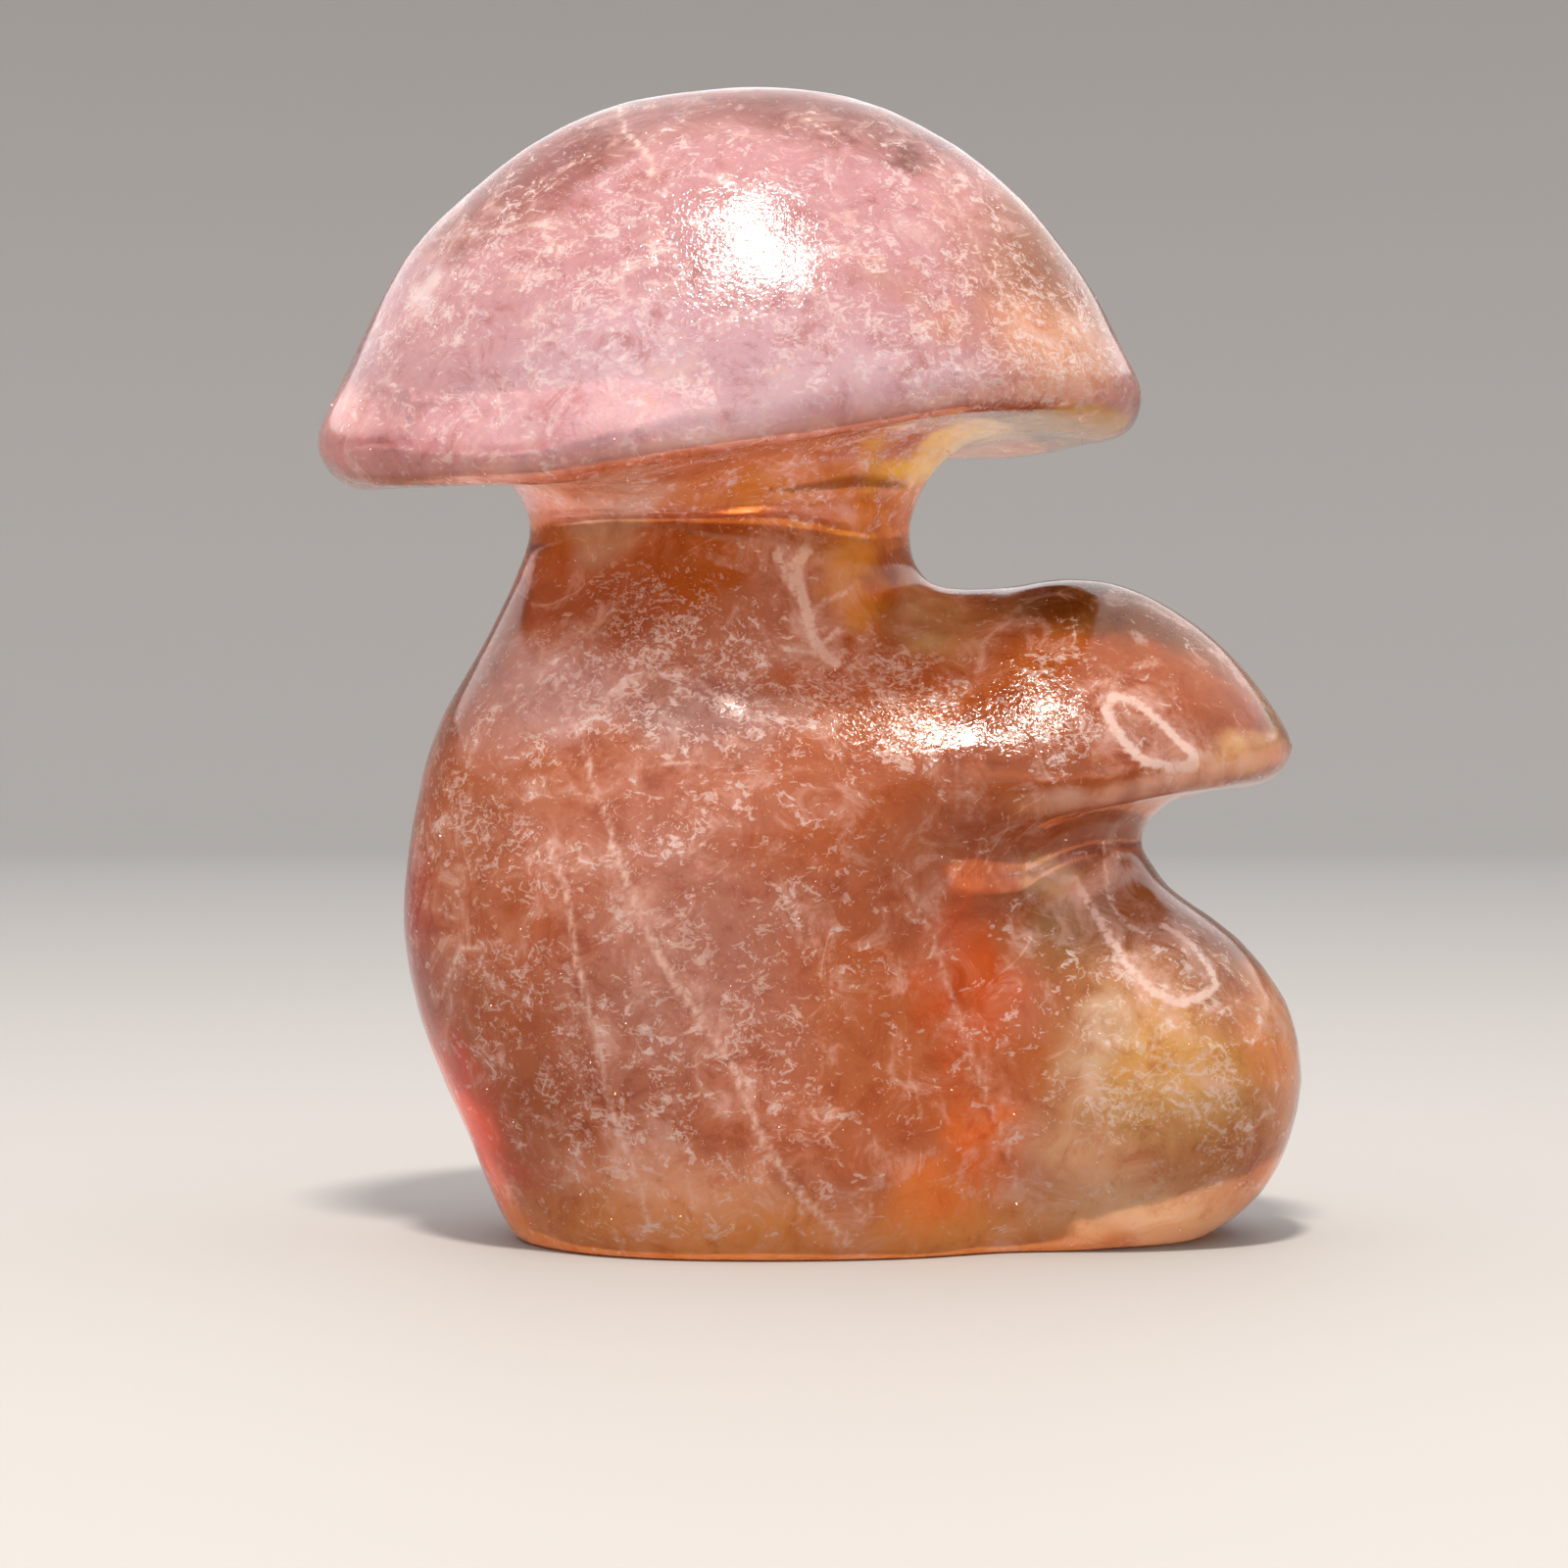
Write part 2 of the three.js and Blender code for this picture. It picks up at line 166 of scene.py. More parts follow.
# Healed cracks, as the eye follows them across the front: width mm, strength, and points x z mm.
CRACKS = {
    "left_run": (0.44, 0.48, ((-12.6, 20.1), (-11.7, 17.8), (-11.2, 14.4), (-10.3, 11.1), (-9.6, 7.4), (-8.4, 4.2),
                             (-7.7, 1.4))),
    "long_run": (0.48, 0.55, ((-9.5, 20.1), (-8.3, 17.1), (-7.1, 14.4), (-5.7, 12.3), (-3.6, 9.3), (-2.4, 6.0),
                             (-0.8, 3.6), (1.9, 0.8))),
    "long_run_top": (0.44, 0.45, ((-12.6, 28.2), (-10.8, 24.4), (-10.5, 22.9), (-9.7, 21.2), (-9.5, 20.1))),
    "belt": (0.35, 0.4, ((-9.6, 23.7), (-6.5, 23.9), (-3.6, 23.8))),
    "shoulder_arc": (0.60, 0.4, ((-9.8, 27.3), (-8.1, 28.2), (-6.3, 28.4), (-4.4, 27.1), (-2.1, 25.8))),
    "left_edge_low": (0.35, 0.5, ((-18.2, 12.3), (-17.1, 14.8), (-14.8, 15.3))),
    "left_edge_high": (0.35, 0.4, ((-19.1, 17.1), (-17.0, 16.2))),
    "small_cap_loop": (0.44, 1.0, ((14.7, 27.2), (15.6, 27.0), (16.7, 26.1), (17.6, 25.2), (18.6, 24.3), (18.6, 23.8),
                                   (17.4, 23.7), (16.0, 24.0), (15.1, 24.9), (14.5, 25.8), (14.3, 26.6),
                                   (14.7, 27.2))),
    "bulb_hook": (0.40, 1.0, ((10.6, 19.0), (11.7, 18.5), (13.0, 18.1), (13.8, 16.8), (14.6, 15.4), (15.6, 13.9),
                              (16.7, 12.8), (17.9, 12.2), (19.0, 12.5), (19.9, 13.0), (19.7, 13.7), (18.9, 14.9),
                              (18.0, 15.6), (17.2, 16.0))),
    "bulb_pane_edge": (0.32, 0.6, ((14.5, 20.0), (14.6, 18.1), (14.8, 16.9), (15.6, 15.9), (16.5, 15.6))),
    "groove_run": (0.40, 0.4, ((4.7, 17.9), (5.6, 16.1), (6.8, 12.7), (7.7, 9.9), (8.4, 8.1), (9.4, 5.7),
                               (10.1, 3.0))),
    "neck_right": (0.40, 0.4, ((-1.1, 38.0), (0.2, 35.7))),
    "neck_left": (0.35, 0.3, ((-7.2, 35.1), (-5.8, 36.5), (-5.2, 37.6))),
    "neck_tree_trunk": (0.55, 0.9, ((1.2, 28.8), (0.2, 29.7), (-0.1, 30.9), (-0.4, 32.1), (-0.7, 33.7),
                                    (-0.1, 34.6))),
    "neck_tree_left": (0.45, 0.8, ((-0.4, 31.8), (-1.1, 33.0), (-1.7, 34.3))),
    "neck_tree_low": (0.35, 0.7, ((0.2, 29.7), (0.9, 30.0), (1.6, 30.6))),
    "neck_tree_right": (0.35, 0.5, ((-0.1, 30.9), (0.7, 31.9), (2.2, 32.6))),
    "neck_tree_root": (0.40, 0.5, ((1.2, 28.8), (-0.2, 29.4), (-1.6, 29.6))),
    "cap_crack": (0.35, 0.6, ((-9.6, 56.8), (-9.1, 55.0), (-8.4, 54.1), (-7.6, 53.0), (-7.8, 52.2))),
    "cap_shore": (0.45, 0.35, ((-19.0, 50.0), (-17.1, 49.7), (-14.3, 49.9), (-11.5, 50.0))),
    "cap_right": (0.40, 0.35, ((6.2, 53.4), (7.0, 51.3), (8.6, 47.5), (11.0, 44.5))),
    "cap_tick": (0.30, 0.6, ((-0.1, 55.5), (0.7, 54.6), (1.5, 54.9))),
    "saddle": (0.50, 0.4, ((9.9, 31.0), (8.6, 30.0), (8.2, 28.3))),
    "small_cap_seam": (0.35, 0.3, ((7.1, 24.5), (7.1, 21.5))),
}
HAZE_REACH = 2.2

# Veils: the faces of those cracks, which run into the stone. Crack, the way in as x y z mm, flecks per square mm.
VEILS = (
    ("left_run", (2.6, 6.0, 0.5), 5.0),
    ("long_run", (4.0, 7.0, -1.0), 5.0),
    ("long_run_top", (3.0, 5.0, -1.5), 4.0),
    ("shoulder_arc", (0.5, 5.0, -3.0), 6.0),
    ("belt", (0.0, 5.0, 2.5), 3.0),
    ("small_cap_loop", (-0.5, 1.6, 0.4), 7.0),
    ("bulb_hook", (-0.8, 2.4, 0.6), 6.0),
    ("groove_run", (-2.5, 5.0, 0.0), 4.0),
    ("neck_tree_trunk", (-1.0, 3.0, 0.5), 6.0),
    ("neck_tree_left", (-0.8, 2.5, 0.5), 5.0),
    ("neck_tree_right", (0.4, 2.5, -0.5), 5.0),
    ("cap_crack", (3.0, 3.0, -1.5), 5.0),
    ("cap_shore", (1.0, 5.0, -2.5), 4.0),
    ("cap_right", (-2.0, 4.0, -1.0), 4.0),
    ("saddle", (-1.0, 3.0, -1.0), 4.0),
)

# Where the cleavage flecks crowd: centre x y z mm, half sizes x y z mm, flecks for each square mm of skin.
CAP_CLOUDS = (
    ((-5, -8, 45), (20, 14, 9), 3.6),
    ((9, -10, 44), (9, 10, 6), 3.8),
    ((-7, 10, 46), (16, 9, 9), 2.2),
)
STEM_CLOUDS = (
    ((-7, -10, 28), (8, 6, 4), 4.0),
    ((-7, -10, 31.6), (4, 6, 2.4), 4.4),
    ((2, -10, 26), (6, 6, 3), 3.4),
    ((-15, -8, 22), (6, 8, 6), 2.6),
    ((-7, -12, 12), (12, 8, 14), 2.2),
    ((4, -11, 27), (4.5, 6, 3.5), 4.6),
    ((11, -11, 27), (4.5, 6, 3.5), 4.0),
    ((17, -8, 9), (8, 9, 7), 2.8),
    ((-4, 12, 14), (16, 8, 14), 1.6),
)
# Where the polish is broken by flecks that reach the skin, so that a highlight glitters: the last number is how much.
BROKEN_POLISH = (
    ((-4, -14, 49), (9, 12, 7), 0.6),
    ((8, -12, 45), (8, 10, 5), 0.6),
    ((3.8, -11, 26.4), (3.6, 6, 3), 1.6),
    ((10.6, -11, 27), (3.2, 6, 3), 1.3),
    ((-8, -10, 30), (5, 6, 2.5), 0.5),
)
FEWEST_FLECKS = 0.2
MOST_FLECKS = 5.0


class StoneSettings(bpy.types.PropertyGroup):
    """Sizes of the polished stone."""

    grid: bpy.props.FloatProperty(
        name="Grid", description="Size of the fine mesh's faces", default=0.36 * MM, unit="LENGTH", precision=5)
    polish_passes: bpy.props.IntProperty(
        name="Polish passes", description="How often the fine mesh is eased, as a polishing wheel does", default=14)
    wave_height: bpy.props.FloatProperty(
        name="Wave height", description="Height of the waves that hand grinding leaves",
        default=0.16 * MM, unit="LENGTH", precision=5)
    wave_length: bpy.props.FloatProperty(
        name="Wave length", description="Size of those waves", default=6 * MM, unit="LENGTH", precision=4)
    clearness: bpy.props.FloatProperty(
        name="Clearness", description="Share of the light that passes the skin unscattered", default=0.66,
        subtype="FACTOR", min=0, max=1)


class FleckSettings(bpy.types.PropertyGroup):
    """Sizes of the cleavage flecks inside the stone."""

    size: bpy.props.FloatProperty(
        name="Size", description="Length of a common fleck", default=0.45 * MM, unit="LENGTH", precision=5)
    depth: bpy.props.FloatProperty(
        name="Depth", description="Deepest fleck under the skin", default=1.6 * MM, unit="LENGTH", precision=4)
    colour: bpy.props.FloatVectorProperty(
        name="Colour", description="Colour of a fleck", default=linear("fff1ea"), subtype="COLOR", min=0, max=1)


class StageSettings(bpy.types.PropertyGroup):
    """The floor, the lights and the camera."""

    sweep: bpy.props.FloatVectorProperty(
        name="Sweep colour", description="Colour of the floor and the backdrop", default=linear("9a9692"),
        subtype="COLOR", min=0, max=1)
    key_power: bpy.props.FloatProperty(name="Key power", description="Power of the lamp overhead in watts", default=2.4)
    room: bpy.props.FloatProperty(name="Room light", description="Strength of the light from all round", default=1.6)
    distance: bpy.props.FloatProperty(
        name="Camera distance", description="From the camera to the stone's middle", default=200 * MM, unit="LENGTH")
    lens: bpy.props.FloatProperty(name="Lens", description="Focal length of the camera in mm", default=90.0)


# Building blocks for materials

def add(tree, kind, links=None, **settings):
    """Adds a node, sets its properties and its inputs, and returns its first output that is in use."""
    made = tree.nodes.new(kind)
    for key, value in settings.items():
        setattr(made, key, value)
    for key, value in (links or {}).items():
        socket = made.inputs[key]
        if isinstance(value, bpy.types.NodeSocket):
            tree.links.new(value, socket)
        else:
            socket.default_value = value
    return next((out for out in made.outputs if out.enabled), None)


def colour(code):
    return (*linear(code), 1.0)


def new_material(name):
    """An empty node material and its tree."""
    material = bpy.data.materials.new(name)
    material.use_nodes = True
    material.node_tree.nodes.clear()
    return material, material.node_tree


def mix(tree, share, under, over, blend="MIX"):
    """Colour over laid on colour under."""
    made = tree.nodes.new("ShaderNodeMix")
    made.data_type = "RGBA"
    made.blend_type = blend
    for socket, value in zip((made.inputs[0], made.inputs[6], made.inputs[7]), (share, under, over)):
        if isinstance(value, bpy.types.NodeSocket):
            tree.links.new(value, socket)
        else:
            socket.default_value = value
    return made.outputs[2]


def times(tree, one, other):
    return add(tree, "ShaderNodeMath", {0: one, 1: other}, operation="MULTIPLY")


def ramp(tree, value, low, high):
    """0 below low, 1 above high, smooth between."""
    return add(tree, "ShaderNodeMapRange", {"Value": value, "From Min": low, "From Max": high,
                                            "To Min": 0.0, "To Max": 1.0}, interpolation_type="SMOOTHSTEP")


def ridge(tree, place, scale, width):
    """Thin crooked lines, 1 on the line, where a noise passes its middle value."""
    field = add(tree, "ShaderNodeTexNoise", {"Vector": place, "Scale": scale, "Detail": 2.0, "Distortion": 0.8})
    off = add(tree, "ShaderNodeMath", {0: field, 1: 0.5}, operation="SUBTRACT")
    off = add(tree, "ShaderNodeMath", {0: off}, operation="ABSOLUTE")
    return ramp(tree, off, width, 0.0)


def fluorite_material(settings):
    """Polished banded fluorite: clear and cloudy growth zones in orange, rose and honey under a glassy skin, with
    painted glow in some zones, a painted highlight along the lips and painted glints among the flecks.
    """
    material, tree = new_material("polished_fluorite")
    nodes = tree.nodes
    coordinates = nodes.new("ShaderNodeTexCoord").outputs["Object"]
    place = add(tree, "ShaderNodeVectorMath", {0: coordinates, "Scale": 1 / MM}, operation="SCALE")
    skin = add(tree, "ShaderNodeAttribute", attribute_name="zones_and_painted_glow").node.outputs["Color"]
    crowd = add(tree, "ShaderNodeAttribute", attribute_name="fleck_crowd").node.outputs["Fac"]

    # Cloudiness: paler and darker wisps of about 2 mm, torn at their edges.
    wisps = add(tree, "ShaderNodeTexNoise", {"Vector": place, "Scale": 0.42, "Detail": 5.0, "Roughness": 0.7,
                                             "Distortion": 0.6})
    skin = mix(tree, times(tree, ramp(tree, wisps, 0.50, 0.68), 0.34), skin, colour("ffe4da"))
    skin = mix(tree, times(tree, ramp(tree, wisps, 0.50, 0.28), 0.55), skin, colour("cc8c6c"), "MULTIPLY")

    # A web of hair cracks, 5 to 8 mm from line to line, seen only where the stone is cloudy.
    web = times(tree, ridge(tree, place, 0.14, 0.010), ramp(tree, wisps, 0.45, 0.60))
    skin = mix(tree, times(tree, web, 0.45), skin, colour("f6cbb9"))

    # Healed cracks show pale, with a haze beside them; the sharp lips get a painted pale highlight along their edge.
    specks = add(tree, "ShaderNodeTexNoise", {"Vector": place, "Scale": 2.3, "Detail": 2.0, "Roughness": 0.6,
                                              "Distortion": 0.7})
    crack = add(tree, "ShaderNodeAttribute", attribute_name="healed_crack").node.outputs["Fac"]
    broken = add(tree, "ShaderNodeMath", {0: specks, 1: 2.0, 2: 0.05}, operation="MULTIPLY_ADD")
    crack = ramp(tree, times(tree, crack, broken), 0.12, 0.80)
    beside = add(tree, "ShaderNodeAttribute", attribute_name="crack_haze").node.outputs["Fac"]
    beside = times(tree, beside, ramp(tree, wisps, 0.36, 0.60))
    skin = mix(tree, times(tree, beside, 0.65), skin, colour("f2c6ba"))
    lip_highlight = add(tree, "ShaderNodeAttribute", attribute_name="painted_lip_highlight").node.outputs["Fac"]
    skin = mix(tree, times(tree, lip_highlight, 0.6), skin, colour("ffdccc"))

    # Cleavage planes just under the skin: their curled edges, 0.5 to 1.5 mm long, and fine grains between them, painted
    # near white: partly the pale cleavage itself, partly painted glints.
    planes = add(tree, "ShaderNodeVectorMath", {0: place, 1: (1.0, 1.0, 1.4)}, operation="MULTIPLY")
    torn = add(tree, "ShaderNodeTexNoise", {"Vector": planes, "Scale": 0.9, "Detail": 2.5, "Roughness": 0.65,
                                            "Distortion": 0.9})
    level = add(tree, "ShaderNodeMapRange", {"Value": crowd, "From Min": 0.0, "From Max": 1.0,
                                             "To Min": 0.62, "To Max": 0.46})
    torn = ramp(tree, add(tree, "ShaderNodeMath", {0: torn, 1: level}, operation="SUBTRACT"), 0.0, 0.04)
    curls = add(tree, "ShaderNodeMath", {0: ridge(tree, planes, 0.55, 0.045), 1: ridge(tree, planes, 1.05, 0.06)},
                operation="MAXIMUM")
    uneven = add(tree, "ShaderNodeMapRange", {"Value": wisps, "From Min": 0.38, "From Max": 0.60,
                                              "To Min": 0.35, "To Max": 1.0})
    curls = times(tree, times(tree, curls, torn), uneven)
    grains = add(tree, "ShaderNodeTexNoise", {"Vector": place, "Scale": 3.6, "Detail": 2.0, "Roughness": 0.6,
                                              "Distortion": 1.0})
    level = add(tree, "ShaderNodeMapRange", {"Value": crowd, "From Min": 0.0, "From Max": 1.0,
                                             "To Min": 0.70, "To Max": 0.53})
    specks = ramp(tree, add(tree, "ShaderNodeMath", {0: grains, 1: level}, operation="SUBTRACT"), 0.0, 0.08)
    skin = mix(tree, times(tree, specks, 0.70), skin, mix(tree, 0.65, skin, colour("fff4ee")))
    skin = mix(tree, times(tree, curls, 0.85), skin, mix(tree, 0.80, skin, colour("fff4ee")))
    skin = mix(tree, times(tree, crack, 0.85), skin, colour("ffe6da"))
    sparkle = add(tree, "ShaderNodeMath", {0: curls, 1: specks}, operation="MAXIMUM")

    # The polish is glassy over a cloudy body, and breaks up into tiny facets where the flecks reach the skin.
    rough = add(tree, "ShaderNodeAttribute", attribute_name="broken_polish").node.outputs["Fac"]
    height = times(tree, grains, rough)
    relief = add(tree, "ShaderNodeBump", {"Strength": 0.6, "Distance": 0.075 * MM, "Height": height})

    surface = nodes.new("ShaderNodeBsdfPrincipled")
    surface.inputs["IOR"].default_value = 1.434
    surface.inputs["Roughness"].default_value = 0.10
    surface.inputs["Transmission Weight"].default_value = settings.clearness
    surface.subsurface_method = "BURLEY"
    surface.inputs["Subsurface Weight"].default_value = 1.0
    surface.inputs["Subsurface Radius"].default_value = (1.0, 0.4, 0.2)
    surface.inputs["Subsurface Scale"].default_value = 5 * MM
    tree.links.new(skin, surface.inputs["Base Color"])
    tree.links.new(times(tree, sparkle, 0.15), surface.inputs["Metallic"])
    tree.links.new(relief, surface.inputs["Normal"])
    inside = nodes.new("ShaderNodeVolumeAbsorption")
    inside.inputs["Color"].default_value = colour("ffb27c")
    inside.inputs["Density"].default_value = 9.0
    out = nodes.new("ShaderNodeOutputMaterial")
    tree.links.new(surface.outputs[0], out.inputs["Surface"])
    tree.links.new(inside.outputs[0], out.inputs["Volume"])
    return material


def fleck_material(settings):
    """Cleavage flecks: freshly parted fluorite, white and pearly, so they flash."""
    material, tree = new_material("cleavage_flecks")
    coordinates = tree.nodes.new("ShaderNodeTexCoord").outputs["Object"]
    tint = add(tree, "ShaderNodeTexNoise", {"Vector": coordinates, "Scale": 180.0})
    shade = mix(tree, ramp(tree, tint, 0.4, 0.6), (*settings.colour, 1.0), colour("ffd6c0"))
    surface = tree.nodes.new("ShaderNodeBsdfPrincipled")
    tree.links.new(shade, surface.inputs["Base Color"])
    surface.inputs["Roughness"].default_value = 0.3
    surface.inputs["IOR"].default_value = 1.434
    out = tree.nodes.new("ShaderNodeOutputMaterial")
    tree.links.new(surface.outputs[0], out.inputs["Surface"])
    return material


# Helpers for pieces

def only(piece):
    """Selects one object alone and makes it active."""
    bpy.ops.object.select_all(action="DESELECT")
    piece.select_set(True)
    bpy.context.view_layer.objects.active = piece


def modify(piece, kind, **settings):
    """Adds a modifier, sets it and applies it."""
    only(piece)
    modifier = piece.modifiers.new(kind.lower(), kind)
    for key, value in settings.items():
        setattr(modifier, key, value)
    bpy.ops.object.modifier_apply(modifier=modifier.name)


def points_of(piece):
    """The piece's vertices as an array in mm."""
    places = np.zeros(len(piece.data.vertices) * 3)
    piece.data.vertices.foreach_get("co", places)
    return places.reshape(-1, 3) / MM


def normals_of(piece):
    normals = np.zeros(len(piece.data.vertices) * 3)
    piece.data.vertices.foreach_get("normal", normals)
    return normals.reshape(-1, 3)


def store(piece, name, values):
    """Keeps one number for each vertex."""
    layer = piece.data.attributes.new(name, "FLOAT", "POINT")
    layer.data.foreach_set("value", np.asarray(values, np.float32))


def smoothstep(values):
    values = np.clip(values, 0, 1)
    return values * values * (3 - 2 * values)


def wander(places, length, reach):
    """Shifts each place by up to reach mm, by a noise with waves of that length in mm."""
    return reach * np.array([noise.noise_vector(place) for place in places / length])


def zone_and_glow_colours(places, normals):
    """The linear colour of the growth zones at each place, with the painted glow and painted light of some zones."""
    x, _, z = (places + wander(places, 3.0, 0.5)).T
    places = places + wander(places, 6.0, 2.0) + wander(places, 1.3, 0.8)

    def layered(ground, table):
        result = np.tile(linear(ground), (len(places), 1))
        for code, centre, size, edge, strength, tilt in table:
            out = places - centre
            turn = math.radians(tilt)
            out = np.stack([out[:, 0] * math.cos(turn) - out[:, 2] * math.sin(turn), out[:, 1],
                            out[:, 0] * math.sin(turn) + out[:, 2] * math.cos(turn)], 1)
            reach = np.sqrt(((out / size) ** 2).sum(1))
            share = strength * smoothstep((1 - reach) / edge)[:, None]
            result = result * (1 - share) + np.array(linear(code)) * share
        return result

    # The tall cap lies above a lip that rises a little to the right, and its underside has the stem's colours.
    # The small cap's lip climbs faster, and its left side melts into the tall stem.
    over = smoothstep((normals[:, 2] + 0.85) / 0.35)
    in_cap = (smoothstep((z - 0.12 * x - 38.4) / 0.8) * over)[:, None]
    in_small = smoothstep((z - 0.16 * x - 18.6) / 0.8) * smoothstep((x - 4) / 5.5) * smoothstep((37 - z) / 3)
    in_small = (in_small * over)[:, None]
    below = layered(STEM_BROWN, STEM_ZONES) * (1 - in_small) + layered(SMALL_CAP_BROWN, SMALL_CAP_ZONES) * in_small
    return below * (1 - in_cap) + layered(CAP_PINK, CAP_ZONES) * in_cap


def bend_values(piece, grid):
    """How sharply the skin bulges at each vertex, in 1/mm, evened out over a few neighbours."""
    places = points_of(piece)
    ends = np.zeros(len(piece.data.edges) * 2, int)
    piece.data.edges.foreach_get("vertices", ends)
    one, other = ends.reshape(-1, 2).T
    count = np.bincount(ends, minlength=len(places))

    def around(values):
        total = np.zeros_like(values)
        np.add.at(total, one, values[other])
        np.add.at(total, other, values[one])
        return (total.T / count).T

    bulge = ((places - around(places)) * normals_of(piece)).sum(1) * 2 / grid ** 2
    for _ in range(3):
        bulge = (bulge + around(bulge)) / 2
    return bulge


def on_skin(skin, line):
    """Points every 0.12 mm along a line of x z places in mm, dropped onto the front of the stone."""
    found = []
    for (x0, z0), (x1, z1) in zip(line, line[1:]):
        count = max(2, int(math.hypot(x1 - x0, z1 - z0) / 0.12))
        for i in range(count):
            share = i / count
            start = Vector((x0 + (x1 - x0) * share, -50.0, z0 + (z1 - z0) * share)) * MM
            hit = skin.ray_cast(start, Vector((0, 1, 0)))[0]
            if hit is not None:
                found.append(hit / MM)
    return np.array(found)


def crack_values(piece, skin):
    """How strongly each vertex lies on a healed crack, and in the haze beside it, 0 to 1."""
    places = points_of(piece)
    lines, haze = np.zeros(len(places)), np.zeros(len(places))
    for width, strength, line in CRACKS.values():
        samples = on_skin(skin, line)
        lo, hi = samples.min(0) - HAZE_REACH, samples.max(0) + HAZE_REACH
        close = np.nonzero(((places > lo) & (places < hi)).all(1))[0]
        near = np.full(len(close), np.inf)
        for sample in samples:
            near = np.minimum(near, ((places[close] - sample) ** 2).sum(1))
        near = np.sqrt(near)
        lines[close] = np.maximum(lines[close], strength * np.clip(1.3 - near / (0.62 * width), 0, 1))
        haze[close] = np.maximum(haze[close], strength * np.clip(1 - near / HAZE_REACH, 0, 1))
    return lines, haze


def cloud_values(places, clouds, fewest):
    """The densest of the clouds at each place, fading out round its edge."""
    values = np.full(len(places), float(fewest))
    for centre, size, density in clouds:
        reach = np.sqrt((((places - centre) / size) ** 2).sum(1))
        values = np.maximum(values, density * np.clip(1.4 - reach, 0, 1))
    return values


def crowd_values(piece, clouds):
    """How densely the flecks lie under each vertex, in flecks for each square mm: clouds torn into drifts."""
    places = points_of(piece)
    values = cloud_values(places, clouds, FEWEST_FLECKS)
    broad = np.array([noise.noise(place) for place in places / 3.2])
    fine = np.array([noise.noise(place) for place in places / 1.1 + 40])
    return values * (0.5 + 1.5 * smoothstep(0.5 + 0.8 * broad + 0.8 * fine))


class CARVING_OT_stage(bpy.types.Operator):
    """Builds the pale sweep, the lights and the camera"""

    bl_idname = "carving.stage"
    bl_label = "Stage"

    def execute(self, context):
        settings = context.scene.carving_stage
        bpy.ops.object.select_all(action="DESELECT")
        bpy.ops.mesh.primitive_circle_add(vertices=96, radius=1.1, fill_type="TRIFAN", location=(0, 0, 0))
        floor = context.object
        floor.name = floor.data.name = "pale_sweep"
        bpy.ops.object.mode_set(mode="EDIT")
        bpy.ops.mesh.select_all(action="DESELECT")
        bpy.ops.object.mode_set(mode="OBJECT")
        for edge in floor.data.edges:
            edge.select = all((floor.data.vertices[i].co.length > 1.0) for i in edge.vertices)
        bpy.ops.object.mode_set(mode="EDIT")
        bend = 0.45
        steps = 8
        for i in range(steps):
            before, after = (math.radians(90 * k / steps) for k in (i, i + 1))
            out_by = bend * (math.sin(after) - math.sin(before))
            up_by = bend * (math.cos(before) - math.cos(after))
            radius = 1.1 + bend * math.sin(before)
            grow = (radius + out_by) / radius
            bpy.ops.mesh.extrude_region_move(TRANSFORM_OT_translate={"value": (0, 0, up_by)})
            bpy.ops.transform.resize(value=(grow, grow, 1))
        bpy.ops.mesh.select_all(action="SELECT")
        bpy.ops.mesh.normals_make_consistent(inside=True)
        bpy.ops.object.mode_set(mode="OBJECT")
        bpy.ops.object.shade_smooth()
        material, tree = new_material("matt_paper_sweep")
        surface = tree.nodes.new("ShaderNodeBsdfPrincipled")
        surface.inputs["Base Color"].default_value = (*settings.sweep, 1.0)
        surface.inputs["Roughness"].default_value = 0.7
        out = tree.nodes.new("ShaderNodeOutputMaterial")
        tree.links.new(surface.outputs[0], out.inputs["Surface"])
        floor.data.materials.append(material)

        self.lamp("key_lamp", (-0.01, -0.19, 0.44), (0.06, 0.035), settings.key_power, "fff8f0")

        world = bpy.data.worlds.new("soft_room")
        world.use_nodes = True
        light = world.node_tree.nodes["Background"]
        light.inputs["Color"].default_value = colour("e6e6e8")
        light.inputs["Strength"].default_value = settings.room
        context.scene.world = world

        bpy.ops.object.camera_add(location=(-1.3 * MM, -settings.distance, 22.9 * MM), rotation=(math.pi / 2, 0, 0))
        camera = context.object
        camera.name = "camera"
        camera.data.lens = settings.lens
        camera.data.sensor_width = 36.0
        camera.data.clip_start = 0.01
        context.scene.camera = camera
        context.scene.view_settings.view_transform = "Standard"
        context.scene.view_settings.look = "Medium High Contrast"
        return {"FINISHED"}

    @staticmethod
    def lamp(name, place, size, power, code):
        """One round soft lamp that faces the stone's middle."""
        place = Vector(place)
        facing = (Vector((0, 0, 0.03)) - place).to_track_quat("-Z", "Y").to_euler()
        bpy.ops.object.light_add(type="AREA", location=place, rotation=facing)
        lamp = bpy.context.object
        lamp.name = lamp.data.name = name
        lamp.data.shape = "ELLIPSE"
        lamp.data.size, lamp.data.size_y = size
        lamp.data.energy = power
        lamp.data.color = linear(code)


